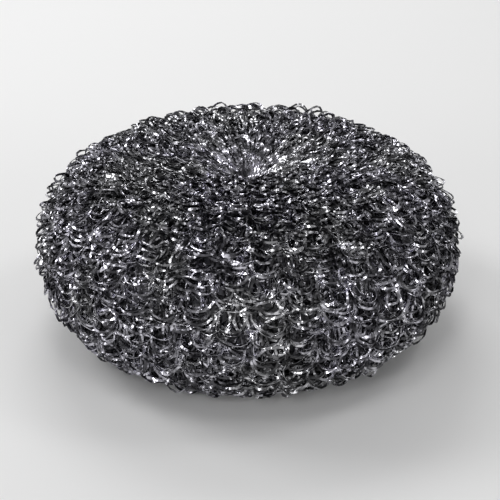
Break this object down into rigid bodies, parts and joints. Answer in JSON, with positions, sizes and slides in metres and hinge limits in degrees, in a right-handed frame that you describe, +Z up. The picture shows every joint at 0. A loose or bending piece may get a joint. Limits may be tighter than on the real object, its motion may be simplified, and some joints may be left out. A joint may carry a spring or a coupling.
{
  "type": "metal scourer",
  "caption": "Round bun-shaped scouring pad knitted from flat zinc-coated wire, rolled over on itself and gathered into a dimple in the middle of the top and of the underside.",
  "frame": {"origin": "centre of the flattened underside, on the plane that the pad rests on", "axes": "+Z up along the axis that the pad is round about; the pictured side faces -Y and +X is to its right"},
  "size_m": [0.09, 0.09, 0.039],
  "materials": {
    "wire": "bright zinc-coated flat wire: glossy flats that glint, dark grey edges and dark gaps between the loops"
  },
  "bodies": {
    "root": {"knitted_pad": "wire"}
  },
  "joints": []
}
